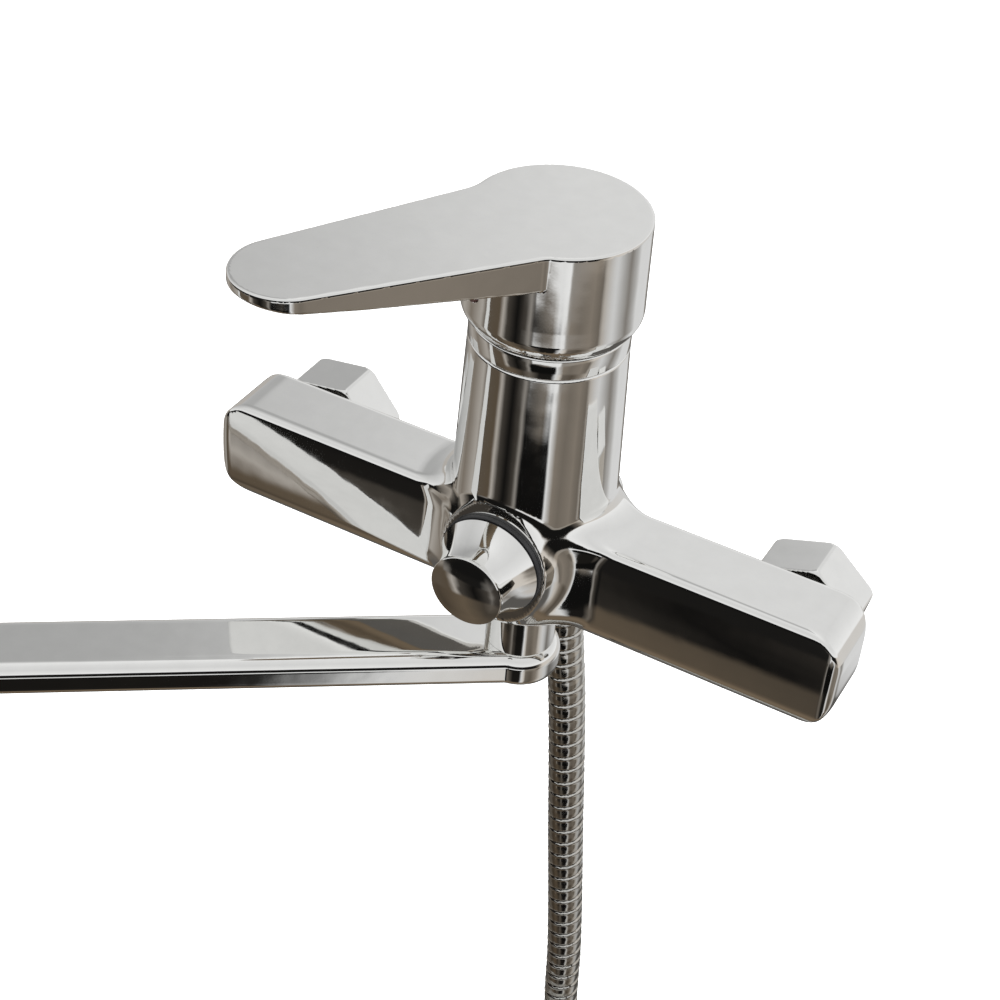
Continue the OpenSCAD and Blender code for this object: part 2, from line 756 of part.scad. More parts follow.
module hose_nut_end() {
    color(chrome) translate([coil_x + coil_r, end_y, coil_z - tail]) difference() {
        rotate_extrude() polygon([[0, -24], [11.8, -24], [12.2, -23.4], [12.2, -14], [8.8, -4.6], [8.3, -4.2], [0, -4.2]]);
        translate([0, 0, -25]) cylinder(r = 9.3, h = 7);
        translate([0, 0, -15]) cylinder(r = ferrule_r + run_gap, h = 15);
        translate([0, 0, -18]) cylinder(r = 9 + undercut, h = 6.3);
    }
}

module hose_gasket_end() {
    color(rubber) translate([coil_x + coil_r, end_y, coil_z - tail - 16]) washer(9, 5, 1.9);
}

body_casting();
cover_ring();
cartridge_nut();
cartridge_housing();
cartridge_base();
cartridge_seals();
fixed_disc();
moving_disc();
disc_carrier();
stem_rotor();
stem_pin();
lever_stem();
lever_handle();
handle_screw();
index_plug();
inlet_bush_hot();
inlet_bush_cold();
inlet_gasket_hot();
inlet_gasket_cold();
union_nut_hot();
union_nut_cold();
diverter_housing();
diverter_nut();
diverter_seal();
diverter_disc_fixed();
diverter_disc_moving();
diverter_stem();
diverter_ring();
diverter_knob();
diverter_screw();
spout_bush();
spout_orings();
spout();
spout_screw();
aerator_housing();
aerator_insert();
aerator_gasket();
shower_outlet();
check_valve();
hose_gasket_top();
hose_nut_top();
hose_ferrule_top();
shower_hose();
shower_hose_coil();
shower_hose_tail();
hose_tie();
hose_ferrule_end();
hose_nut_end();
hose_gasket_end();
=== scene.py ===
import json
import math
import bpy
import numpy as np
from mathutils import Matrix, Vector


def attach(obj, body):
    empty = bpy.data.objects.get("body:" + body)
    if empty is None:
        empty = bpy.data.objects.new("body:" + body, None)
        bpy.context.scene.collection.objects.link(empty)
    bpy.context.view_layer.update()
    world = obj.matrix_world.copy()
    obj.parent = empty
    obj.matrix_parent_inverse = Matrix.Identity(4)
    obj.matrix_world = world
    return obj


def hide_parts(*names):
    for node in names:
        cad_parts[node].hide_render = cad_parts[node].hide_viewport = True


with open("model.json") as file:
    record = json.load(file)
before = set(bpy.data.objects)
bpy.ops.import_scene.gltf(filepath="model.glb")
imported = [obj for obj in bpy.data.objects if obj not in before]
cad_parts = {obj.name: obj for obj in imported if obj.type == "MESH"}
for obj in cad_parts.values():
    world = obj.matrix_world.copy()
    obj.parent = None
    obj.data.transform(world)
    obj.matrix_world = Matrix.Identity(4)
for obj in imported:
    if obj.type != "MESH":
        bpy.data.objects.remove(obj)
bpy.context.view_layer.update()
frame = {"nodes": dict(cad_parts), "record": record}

MM = 0.001
BODIES = frame["record"]["behaviour"]["bodies"]
BODY_OF = {n: b for b, ns in BODIES.items() for n in ns}

# ---------------------------------------------------------------- camera
AZIMUTH, ELEVATION, ROLL = (math.radians(a) for a in (26.13, 38.02, 4.88))
TARGET = Vector((-6.44, -34.28, 16.62)) * MM
DISTANCE = 0.5424
LENS, SENSOR = 72, 36
back = Vector((math.sin(AZIMUTH) * math.cos(ELEVATION), -math.cos(AZIMUTH) * math.cos(ELEVATION),
               math.sin(ELEVATION)))
level = Vector((math.cos(AZIMUTH), math.sin(AZIMUTH), 0))
upright = back.cross(level)
right = level * math.cos(ROLL) + upright * math.sin(ROLL)
up = upright * math.cos(ROLL) - level * math.sin(ROLL)
cam_data = bpy.data.cameras.new("camera")
cam_data.lens = LENS
cam_data.sensor_width = SENSOR
cam_data.clip_start = 0.01
cam_data.clip_end = 50
camera = bpy.data.objects.new("camera", cam_data)
bpy.context.scene.collection.objects.link(camera)
facing = Matrix((right, up, back)).transposed().to_4x4()
camera.matrix_world = Matrix.Translation(TARGET + back * DISTANCE) @ facing
bpy.context.scene.camera = camera


# ---------------------------------------------------------------- mesh helpers
def new_object(name, verts, faces, normals=None):
    """A smooth mesh object from vertices in millimetres."""
    mesh = bpy.data.meshes.new(name)
    mesh.from_pydata(np.asarray(verts, float) * MM, [], faces)
    mesh.polygons.foreach_set("use_smooth", np.full(len(mesh.polygons), True))
    if normals is not None:
        mesh.normals_split_custom_set_from_vertices(np.asarray(normals, float))
    mesh.update()
    o = bpy.data.objects.new(name, mesh)
    bpy.context.scene.collection.objects.link(o)
    return o


def finish_piece(o, material, nodes):
    """Gives a piece its material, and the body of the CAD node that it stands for."""
    o.data.materials.clear()
    o.data.materials.append(material)
    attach(o, BODY_OF[nodes[0]])
    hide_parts(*nodes)
    return o


def gradient(f, p, h=0.04):
    """The gradient of f at the points p, by central differences."""
    g = np.empty_like(p)
    for i in range(3):
        a, b = p.copy(), p.copy()
        a[:, i] -= h
        b[:, i] += h
        g[:, i] = (f(*b.T) - f(*a.T)) / (2 * h)
    return g


def net(f, lo, hi, cell, pulls=4, slab=16):
    """Surface net of a distance function over a box: vertices on the surface, quads and smooth normals."""
    lo, hi = np.array(lo, float), np.array(hi, float)
    n = np.ceil((hi - lo) / cell).astype(int) + 1
    ax = [lo[i] + cell * np.arange(n[i]) for i in range(3)]
    d = np.empty(n, np.float32)
    for i in range(0, n[0], slab):
        x, y, z = np.meshgrid(ax[0][i:i + slab], ax[1], ax[2], indexing="ij")
        d[i:i + slab] = f(x, y, z)
    # the cells that the surface passes through
    inside = d < 0
    corners = [(a, b, c) for a in (0, 1) for b in (0, 1) for c in (0, 1)]
    m = n - 1
    count = sum(inside[a:a + m[0], b:b + m[1], c:c + m[2]].astype(np.int8) for a, b, c in corners)
    cells = np.argwhere((count > 0) & (count < 8))
    index = np.full(m, -1, np.int64)
    index[tuple(cells.T)] = np.arange(len(cells))
    # one vertex a cell, in the middle of the crossings on its edges
    value = {k: d[tuple((cells + k).T)].astype(float) for k in corners}
    total, hits = np.zeros((len(cells), 3)), np.zeros(len(cells))
    for p in corners:
        for i in range(3):
            if p[i] == 0:
                q = tuple(1 if j == i else p[j] for j in range(3))
                a, b = value[p], value[q]
                cross = (a < 0) != (b < 0)
                t = np.where(cross, a / np.where(cross, a - b, 1), 0)
                for j in range(3):
                    total[:, j] += np.where(cross, t if j == i else p[j], 0)
                hits += cross
    verts = lo + cell * (cells + total / hits[:, None])
    # pulled onto the surface
    for _ in range(pulls):
        g = gradient(f, verts)
        size = np.maximum((g * g).sum(1), 0.05)
        step = (f(*verts.T) / size)[:, None] * g
        verts -= np.clip(step, -0.4 * cell, 0.4 * cell)
    # one quad round each grid edge that the surface crosses
    quads = []
    for i in range(3):
        j, k = (i + 1) % 3, (i + 2) % 3
        s0 = [slice(1, n[q] - 1) for q in range(3)]
        s1 = list(s0)
        s0[i], s1[i] = slice(0, n[i] - 1), slice(1, n[i])
        a, b = inside[tuple(s0)], inside[tuple(s1)]
        e = np.argwhere(a != b)
        if not len(e):
            continue
        flip = a[tuple(e.T)]
        e = e + np.array([0 if q == i else 1 for q in range(3)])
        dj, dk = np.eye(3, dtype=int)[j], np.eye(3, dtype=int)[k]
        c = [index[tuple((e - s * dj - t * dk).T)] for s, t in ((1, 1), (0, 1), (0, 0), (1, 0))]
        q = np.stack(c, 1)
        q[~flip] = q[~flip][:, ::-1]
        quads.append(q)
    quads = np.concatenate(quads)
    quads = quads[(quads >= 0).all(1)]
    g = gradient(f, verts, 0.12)
    g /= np.maximum(np.linalg.norm(g, axis=1), 1e-9)[:, None]
    return verts, quads, g


def r_union(a, b, r):
    """Union with a round fillet of radius r."""
    return np.maximum(r, np.minimum(a, b)) - np.hypot(np.maximum(r - a, 0), np.maximum(r - b, 0))


def r_meet(a, b, r):
    """Intersection with a round edge of radius r."""
    return np.minimum(-r, np.maximum(a, b)) + np.hypot(np.maximum(r + a, 0), np.maximum(r + b, 0))


def cut(a, b, r=0.25):
    """A with b taken away, leaving edges of radius r."""
    return r_meet(a, -b, r)


def overlap(*parts):
    """The overlap of several shapes, with sharp edges."""
    d = parts[0]
    for q in parts[1:]:
        d = np.maximum(d, q)
    return d


def smoothstep(x, a, b):
    """0 below a and 1 above b, eased."""
    t = np.clip((x - a) / (b - a), 0, 1)
    return t * t * (3 - 2 * t)


BARREL_Y = -27.0  # the upright axis of the barrel, lever and spout


def turned(points, angle, centre=(0, BARREL_Y)):
    """Points turned about an upright axis and moved to it, for a piece modelled along -Y."""
    a = math.radians(angle)
    p = np.array(points, float)
    x, y = p[:, 0].copy(), p[:, 1].copy()
    p[:, 0] = centre[0] + x * math.cos(a) - y * math.sin(a)
    p[:, 1] = centre[1] + x * math.sin(a) + y * math.cos(a)
    return p


def spin_only(v, angle):
    """Directions turned about the upright axis."""
    return turned(v, angle, (0, 0))


def arc(c, r, a0, a1, n=6):
    """Points on an arc in a profile, angles in degrees from the outward axis."""
    return [(c[0] + r * math.cos(math.radians(a0 + (a1 - a0) * i / n)),
             c[1] + r * math.sin(math.radians(a0 + (a1 - a0) * i / n))) for i in range(n + 1)]


def lathe(name, profile, steps=128, axis="z", origin=(0, 0, 0), sharp=32):
    """A closed profile of (radius, height) turned about an axis. Points at radius 0 close on the axis."""
    pr = [p for i, p in enumerate(profile) if i == 0 or math.dist(p, profile[i - 1]) > 1e-4]
    n = len(pr)
    verts, ring = [], []
    for r, h in pr:
        if r < 1e-6:
            ring.append([len(verts)])
            verts.append((0, 0, h))
        else:
            ring.append(list(range(len(verts), len(verts) + steps)))
            for k in range(steps):
                t = 2 * math.pi * k / steps
                verts.append((r * math.cos(t), r * math.sin(t), h))
    faces = []
    for i in range(n):
        a, b = ring[i], ring[(i + 1) % n]
        if len(a) == 1 and len(b) == 1:
            continue
        for k in range(steps):
            l = (k + 1) % steps
            if len(a) == 1:
                faces.append((a[0], b[l], b[k]))
            elif len(b) == 1:
                faces.append((a[k], a[l], b[0]))
            else:
                faces.append((a[k], a[l], b[l], b[k]))
    v = np.array(verts)
    if axis == "y":  # heights run towards -Y
        v = np.stack([v[:, 0], -v[:, 2], v[:, 1]], 1)
    o = new_object(name, v + np.array(origin), faces)
    bpy.context.view_layer.objects.active = o
    o.data.set_sharp_from_angle(angle=math.radians(sharp))
    return o


# ---------------------------------------------------------------- materials
# noise scales per metre: casting swells, polishing grain and wiped smears, which darken the tint a little
SWELL_SCALE, GRAIN_SCALE, SMEAR_SCALE, SMEAR_SHADE = 90.0, 1500.0, 170, 0.965
MOULD_SCALE = 900.0


def ramp_stops(node, stops):
    """Sets a colour ramp to the given places and colours."""
    el = node.color_ramp.elements
    while len(el) > 1:
        el.remove(el[-1])
    el[0].position, el[0].color = stops[0][0], (*stops[0][1], 1)
    for p, c in stops[1:]:
        e = el.new(p)
        e.color = (*c, 1)


def metal(name, tint, rough, spread, wave=0.03, grain=0.006):
    """A plated or polished metal: slow swells from casting, fine polishing grain, and uneven gloss."""
    m = bpy.data.materials.new(name)
    m.use_nodes = True
    nt = m.node_tree
    bsdf = nt.nodes["Principled BSDF"]
    bsdf.inputs["Metallic"].default_value = 1.0
    co = nt.nodes.new("ShaderNodeTexCoord")
    big = nt.nodes.new("ShaderNodeTexNoise")
    big.inputs["Scale"].default_value = SWELL_SCALE
    big.inputs["Detail"].default_value = 1.5
    fine = nt.nodes.new("ShaderNodeTexNoise")
    fine.inputs["Scale"].default_value = GRAIN_SCALE
    fine.inputs["Detail"].default_value = 4
    smear = nt.nodes.new("ShaderNodeTexNoise")
    smear.inputs["Scale"].default_value = SMEAR_SCALE
    smear.inputs["Detail"].default_value = 5
    for t in (big, fine, smear):
        nt.links.new(co.outputs["Object"], t.inputs["Vector"])
    col = nt.nodes.new("ShaderNodeValToRGB")
    ramp_stops(col, [(0.3, tuple(c * SMEAR_SHADE for c in tint)), (0.7, tint)])
    nt.links.new(smear.outputs["Fac"], col.inputs["Fac"])
    nt.links.new(col.outputs["Color"], bsdf.inputs["Base Color"])
    ro = nt.nodes.new("ShaderNodeMapRange")
    ro.inputs["From Min"].default_value = 0.35
    ro.inputs["From Max"].default_value = 0.7
    ro.inputs["To Min"].default_value = rough
    ro.inputs["To Max"].default_value = rough + spread
    nt.links.new(smear.outputs["Fac"], ro.inputs["Value"])
    nt.links.new(ro.outputs["Result"], bsdf.inputs["Roughness"])
    b1 = nt.nodes.new("ShaderNodeBump")
    b1.inputs["Strength"].default_value = wave
    b1.inputs["Distance"].default_value = 0.002
    nt.links.new(big.outputs["Fac"], b1.inputs["Height"])
    b2 = nt.nodes.new("ShaderNodeBump")
    b2.inputs["Strength"].default_value = grain
    b2.inputs["Distance"].default_value = 0.0002
    nt.links.new(fine.outputs["Fac"], b2.inputs["Height"])
    nt.links.new(b1.outputs["Normal"], b2.inputs["Normal"])
    nt.links.new(b2.outputs["Normal"], bsdf.inputs["Normal"])
    return m


def moulded(name, dark, light, rough, bump=0.15):
    """Moulded plastic, rubber or ceramic: fine texture, mottled tone and uneven gloss."""
    m = bpy.data.materials.new(name)
    m.use_nodes = True
    nt = m.node_tree
    bsdf = nt.nodes["Principled BSDF"]
    co = nt.nodes.new("ShaderNodeTexCoord")
    fine = nt.nodes.new("ShaderNodeTexNoise")
    fine.inputs["Scale"].default_value = MOULD_SCALE
    fine.inputs["Detail"].default_value = 6
    slow = nt.nodes.new("ShaderNodeTexNoise")
    slow.inputs["Scale"].default_value = MOULD_SCALE / 8
    slow.inputs["Detail"].default_value = 3
    for t in (fine, slow):
        nt.links.new(co.outputs["Object"], t.inputs["Vector"])
    col = nt.nodes.new("ShaderNodeValToRGB")
    ramp_stops(col, [(0.3, dark), (0.7, light)])
    nt.links.new(slow.outputs["Fac"], col.inputs["Fac"])
    nt.links.new(col.outputs["Color"], bsdf.inputs["Base Color"])
    ro = nt.nodes.new("ShaderNodeMapRange")
    ro.inputs["To Min"].default_value = rough - 0.08
    ro.inputs["To Max"].default_value = rough + 0.08
    nt.links.new(fine.outputs["Fac"], ro.inputs["Value"])
    nt.links.new(ro.outputs["Result"], bsdf.inputs["Roughness"])
    b = nt.nodes.new("ShaderNodeBump")
    b.inputs["Strength"].default_value = bump
    b.inputs["Distance"].default_value = 0.0002
    nt.links.new(fine.outputs["Fac"], b.inputs["Height"])
    nt.links.new(b.outputs["Normal"], bsdf.inputs["Normal"])
    return m


CHROME = metal("chrome", (0.935, 0.935, 0.92), 0.035, 0.03)
BRASS = metal("brass", (0.80, 0.60, 0.30), 0.24, 0.12, wave=0.05, grain=0.15)
STEEL = metal("steel", (0.66, 0.65, 0.63), 0.26, 0.10, wave=0.04, grain=0.1)
HOSE = metal("hose_steel", (0.62, 0.61, 0.58), 0.07, 0.08, grain=0.02)
# near-black metal for the inlet bushes: painted shade for the dark gap between each union nut and the arm
BUSH_PAINTED_SHADE = metal("bush_metal_painted_shade", (0.16, 0.15, 0.14), 0.30, 0.15, wave=0.05, grain=0.15)
WHITE = moulded("white_plastic", (0.72, 0.71, 0.67), (0.80, 0.79, 0.75), 0.42)
RED = moulded("red_plastic", (0.50, 0.06, 0.04), (0.60, 0.09, 0.06), 0.40)
INDEX = moulded("index_plug", (0.035, 0.012, 0.011), (0.06, 0.02, 0.018), 0.30)
BLACK = moulded("black_plastic", (0.010, 0.010, 0.011), (0.022, 0.022, 0.024), 0.42)
RUBBER = moulded("rubber", (0.015, 0.015, 0.016), (0.035, 0.035, 0.036), 0.65, bump=0.3)
CERAMIC = moulded("ceramic", (0.78, 0.76, 0.71), (0.86, 0.84, 0.80), 0.22, bump=0.05)
BY_SLOT = {"chrome": CHROME, "brass": BRASS, "white_plastic": WHITE, "red_plastic": RED,
           "ceramic": CERAMIC, "rubber": RUBBER, "black_plastic": BLACK, "stainless": STEEL,
           "index_red": INDEX, "hose_steel": HOSE}

# ---------------------------------------------------------------- hose
OUTLET_Y, HOSE_TOP = 4.0, -47.0
RUN_X, RUN_END = 15.0, -216.0  # where the hanging run ends and the bend into the coil starts
BEND, COIL, COIL_TURNS, COIL_WIDTH, TAIL = 60.0, 62.0, 3, 37.8, 42.0
route = [(0, OUTLET_Y, HOSE_TOP)] + [(x, OUTLET_Y, z) for x, z in (
    (0.5, -56), (1.8, -66), (3.6, -80), (5.4, -98), (7.2, -118), (9.1, -140), (11, -160), (12.8, -180),
    (14.2, -198), (RUN_X, RUN_END))]
# a bend outwards, then the coil, whose turns lie beside each other towards -Y, then the tail straight down
bend_angle = math.acos(BEND / (BEND + COIL))
coil_z = RUN_END - (BEND + COIL) * math.sin(bend_angle)
for i in range(1, 9):
    t = bend_angle * i / 8
    route.append((RUN_X + BEND * (1 - math.cos(t)), OUTLET_Y, RUN_END - BEND * math.sin(t)))
start = math.pi / 2 - bend_angle
sweep = COIL_TURNS * 2 * math.pi + math.pi / 2 - start
COIL_POINTS = 120
for i in range(1, COIL_POINTS + 1):
    s = i / COIL_POINTS
    a = start + sweep * s
    route.append((RUN_X + COIL * math.sin(a), OUTLET_Y - COIL_WIDTH * s, coil_z + COIL * math.cos(a)))
for i in range(1, 5):
    route.append((RUN_X + COIL, OUTLET_Y - COIL_WIDTH, coil_z - TAIL * i / 4))


def spline(points, gap_of):
    """Catmull-Rom through the points, sampled by length."""
    p = np.array(points, float)
    q = np.concatenate([[2 * p[0] - p[1]], p, [2 * p[-1] - p[-2]]])
    out = []
    for i in range(1, len(q) - 2):
        a, b, c, d = q[i - 1:i + 3]
        t = np.linspace(0, 1, 60, endpoint=False)[:, None]
        square, cube = 2 * a - 5 * b + 4 * c - d, 3 * b - a - 3 * c + d
        out.append(0.5 * (2 * b + (c - a) * t + square * t ** 2 + cube * t ** 3))
    out = np.concatenate(out + [p[-1:]])
    s = np.concatenate([[0], np.cumsum(np.linalg.norm(np.diff(out, axis=0), axis=1))])
    at, here = [0.0], 0.0
    while here < s[-1] - gap_of(here) * 0.6:
        here += gap_of(here)
        at.append(min(here, s[-1]))
    at = np.array(at)
    at[-1] = s[-1]
    return np.stack([np.interp(at, s, out[:, i]) for i in range(3)], 1), at


PITCH, SIDES = 5.44, 32
FINE_UNTIL, FINE_GAP, COIL_GAP = 240, 0.375, 0.66  # closer rows where the camera sees the hose
centres, along = spline(route, lambda s: FINE_GAP if s < FINE_UNTIL else COIL_GAP)
tangent = np.gradient(centres, axis=0)
tangent /= np.linalg.norm(tangent, axis=1)[:, None]
side = np.array([0.0, 1.0, 0.0]) - tangent * tangent[:, 1:2]
side /= np.linalg.norm(side, axis=1)[:, None]
other = np.cross(tangent, side)
theta = 2 * math.pi * np.arange(SIDES) / SIDES
phase = (along[:, None] / PITCH - theta[None, :] / (2 * math.pi)) % 1.0
# one lap of the interlocked strip: a raised bead, a shallow crowned band, then the step down to the next lap
LAP = [(0, 5.62), (0.04, 5.90), (0.09, 5.99), (0.14, 5.92), (0.18, 5.74), (0.28, 5.80), (0.54, 5.86),
       (0.84, 5.80), (0.92, 5.62), (0.96, 5.30), (1.0, 5.62)]
radius = np.interp(phase, *zip(*LAP))
ring_dir = np.cos(theta)[None, :, None] * side[:, None, :] + np.sin(theta)[None, :, None] * other[:, None, :]
verts = (centres[:, None, :] + radius[:, :, None] * ring_dir).reshape(-1, 3)
rows = len(centres)
i0 = np.arange(rows - 1)[:, None] * SIDES + np.arange(SIDES)[None, :]
i1 = np.arange(rows - 1)[:, None] * SIDES + (np.arange(SIDES)[None, :] + 1) % SIDES
quads = np.stack([i0, i1, i1 + SIDES, i0 + SIDES], -1).reshape(-1, 4)
faces = quads.tolist() + [list(range(SIDES))[::-1], list(range((rows - 1) * SIDES, rows * SIDES))]
hose = new_object("metal_hose", verts, faces)
finish_piece(hose, HOSE, ["shower_hose", "shower_hose_coil", "shower_hose_tail"])


# ---------------------------------------------------------------- body casting
BARREL_TOP, BARREL_R, BARREL_TAPER = 69.0, 23.4, 2.3  # radius at the arms' axis, and what it loses to the top
ARM_FOOT, ARM_TOP, ARM_FRONT, ARM_BACK, ARM_END = -17.7, 17.2, -38.2, -17.0, 96.2
ARM_SWELL = 1.3
INLET_X = 75.0
OUTLET_R, OUTLET_FOOT = 12.5, -18.7
KNOB_Z, BOSS_R, BOSS_FRONT, BOSS_FACING_R = 7.8, 15.6, -49.0, 19
# the hollows' radii and where each one ends
CARTRIDGE_R, CARTRIDGE_FLOOR, NUT_THREAD_R, NUT_SEAT = 17.6, 28, 19, 58
BUSH_R, BUSH_END, INLET_WAY_R, INLET_WAY_END = 10.05, -29, 7.5, -33
DIVERTER_R, DIVERTER_BACK, DIVERTER_FRONT, GLAND_R, GLAND_BACK = 10.2, -16, -47, 11.6, -40
NECK_R, NECK_CEILING, REAR_CEILING = 8.55, -9.7, -10.7


def body_shape(x, y, z):
    """The casting: barrel, arms, rear outlet and boss, with the hollows of the CAD."""
    ax, q = np.abs(x), np.hypot(x, y - BARREL_Y)
    barrel = r_meet(q - (BARREL_R - BARREL_TAPER * z / BARREL_TOP), z - BARREL_TOP, 0.8)
    barrel = r_meet(barrel, ARM_FOOT - z, 13.5)
    # arms, whose fronts swell a little between their top and bottom edges
    swell = ARM_SWELL * np.clip(1 - (z / 17) ** 2, 0, 1)
    plan = r_meet(np.maximum(ARM_FRONT - swell - y, y - ARM_BACK), ax - ARM_END, 4)
    arm = r_meet(r_meet(plan, ARM_FOOT - z, 9.3), z - ARM_TOP, 2.3)
    end = r_meet(r_meet(ax - ARM_END, ARM_FOOT - z, 16.8), z - ARM_TOP, 11.4)
    arm = r_meet(arm, end, 1.0)
    fillet = 3 + 4 * smoothstep(z, -16, -6) + 4 * smoothstep(z, 10, 20)
    d = r_union(barrel, arm, fillet)
    d = np.maximum(d, ARM_FOOT - z)
    # rear outlet
    outlet = np.hypot(x, y - np.clip(y, BARREL_Y, OUTLET_Y)) - OUTLET_R
    outlet = r_meet(r_meet(outlet, z - 2, 2), OUTLET_FOOT - z, 0.6)
    d = r_union(d, outlet, 2.5)
    # boss for the diverter, faced flat round its rim
    b = np.hypot(x, z - KNOB_Z)
    boss = r_meet(b - BOSS_R, BOSS_FRONT - y, 0.5)
    d = r_union(d, np.maximum(boss, y - BARREL_Y), 6)
    d = cut(d, np.maximum(b - BOSS_FACING_R, y - BOSS_FRONT), 0.3)
    # hollows: cartridge and its nut's thread, inlets, diverter and its gland, spout neck and outlet
    inlet, rear = np.hypot(ax - INLET_X, z), np.hypot(x, y - OUTLET_Y)
    for hollow in (overlap(q - CARTRIDGE_R, CARTRIDGE_FLOOR - z), overlap(q - NUT_THREAD_R, NUT_SEAT - z),
                   overlap(inlet - BUSH_R, BUSH_END - y), overlap(inlet - INLET_WAY_R, INLET_WAY_END - y),
                   overlap(b - DIVERTER_R, y - DIVERTER_BACK, DIVERTER_FRONT - y),
                   overlap(b - GLAND_R, y - GLAND_BACK),
                   overlap(q - NECK_R, z - NECK_CEILING), overlap(rear - NECK_R, z - REAR_CEILING)):
        d = cut(d, hollow)
    return d


BODY_CELL = 0.72
v, f, n = net(body_shape, (-97.7, -52, -20.2), (97.7, 18, 70.5), BODY_CELL)
body = new_object("mixer_casting", v, f.tolist(), n)
finish_piece(body, CHROME, ["body_casting"])


# ---------------------------------------------------------------- lever
LEVER_TURN = -33  # degrees from straight ahead
LEVER_REACH, LEVER_TOP, SKIRT_FOOT = 87, 105.5, 75.4
DISC_R, FLANK, SLANT = 23.2, 19.7, 0.08  # the arm's half width at the axis, and what it loses per mm outwards
SECANT = math.hypot(1, SLANT)
NEAR_FILLET, FAR_FILLET = 5.0, 15.0
UNDERSIDE = [(0, 95.4), (20, 95.8), (36, 97.2), (60, 99.2), (77, 101.1), (88, 102.6)]
SKIRT = [(75.4, 21.6), (76.2, 22.15), (77.2, 22.8), (78.2, 23.3), (79.0, 23.52), (80.0, 23.62), (81.5, 23.58),
         (84, 23.52), (106, 23.2)]


def flank_fillet(r):
    """The centre, across and along, of a circle of radius r that touches the arm's flank and the disc."""
    out = FLANK / SECANT + r
    run = math.sqrt((DISC_R + r) ** 2 - out ** 2)
    return (out - SLANT * run) / SECANT, (out * SLANT + run) / SECANT


def lever_shape(x, y, z):
    """The lever along -Y: a flat arm that thins outwards, over a hollow skirt."""
    u, w, q = -y, np.abs(x), np.hypot(x, y)
    flank = (w + SLANT * u - FLANK) / SECANT
    arm = np.maximum(r_meet(flank, u - LEVER_REACH, 13), -u)
    plan = np.minimum(q - DISC_R, arm)
    # the fillets where the arm's flanks meet the disc, wider on the far side
    for r, here in ((NEAR_FILLET, x > 0), (FAR_FILLET, x <= 0)):
        across, ahead = flank_fillet(r)
        fx, fu = w - across, u - ahead
        near = here & (fx * ahead < fu * across) & (fx * SLANT - fu > 0) & (fx < 0)
        rounded = np.minimum(r - np.hypot(fx, fu), 1.0)
        plan = np.where(near, np.maximum(rounded, np.minimum(plan, 0) - 2), plan)
    under = np.interp(u, *zip(*UNDERSIDE))
    top = r_meet(r_meet(plan, z - LEVER_TOP, 0.7), under - z, 0.8)
    skirt = r_meet(r_meet(q - np.interp(z, *zip(*SKIRT)), SKIRT_FOOT - z, 0.5), z - LEVER_TOP, 0.7)
    d = np.minimum(top, skirt)
    # the skirt's hollow round the post for the stem, and the grub screw's hole
    hollow = np.maximum(overlap(q - 21.3, z - 97.5, 74 - z), -overlap(q - 9.8, 84 - z))
    d = cut(d, hollow, 0.2)
    return cut(d, overlap(np.hypot(x, z - 87.5) - 2.8, u - 30, 9 - u), 0.2)


v, f, n = net(lever_shape, (-25.5, -88.5, 74), (25.5, 25.5, 107), 0.6)
lever = new_object("lever", turned(v, LEVER_TURN), f.tolist(), spin_only(n, LEVER_TURN))
finish_piece(lever, CHROME, ["lever_handle"])


# ---------------------------------------------------------------- spout
SPOUT_TURN = -55  # degrees from straight ahead
SPOUT_REACH, SPOUT_HALF, COLLAR_R, TIP_R = 350, 11, 12, 13
SPOUT_TOP, SPOUT_FOOT, TIP_FOOT = -34, -45, -47
BUSH_BORE_R, AERATOR_BORE_R, AERATOR_SEAT = 7.55, 11.05, -39
WAY_HALF, WAY_MIDDLE, WAY_RISE = 7.5, -39.5, 3


def spout_shape(x, y, z):
    """The spout along -Y: a flat hollow bar between a collar and a round tip."""
    u, w, q = -y, np.abs(x), np.hypot(x, y)
    t = np.hypot(x, u - SPOUT_REACH)
    bar = overlap(w - SPOUT_HALF, u - SPOUT_REACH, -u)
    plan = r_union(np.minimum(bar, q - COLLAR_R), t - TIP_R, 4)
    d = r_meet(r_meet(plan, z - SPOUT_TOP, 4.2), SPOUT_FOOT - z, 3.0)
    d = np.minimum(d, r_meet(np.maximum(t - TIP_R, z + 40), TIP_FOOT - z, 0.8))
    # the neck's and the aerator's bores, and the water way between them
    d = cut(d, q - BUSH_BORE_R)
    d = cut(d, np.maximum(t - AERATOR_BORE_R, z - AERATOR_SEAT))
    way = overlap(w - WAY_HALF, np.abs(z - WAY_MIDDLE) - WAY_RISE, u - SPOUT_REACH, 5 - u)
    return cut(d, way, 0.3)


v, f, n = net(spout_shape, (-14.5, -364.5, -48.5), (14.5, 13.5, -32.5), 0.66)
spout = new_object("spout_bar", turned(v, SPOUT_TURN), f.tolist(), spin_only(n, SPOUT_TURN))
finish_piece(spout, CHROME, ["spout"])


# ---------------------------------------------------------------- union nuts
HALF_FLATS, NUT_LENGTH, CORNER_R, CHAMFER = 15.0, 14.6, 16.45, 0.75
THREAD_R, THREAD_END, RELIEF_R, RELIEF_END, NUT_HOLE_R = 12.06, 7.5, 12.1, 10.4, 10.05


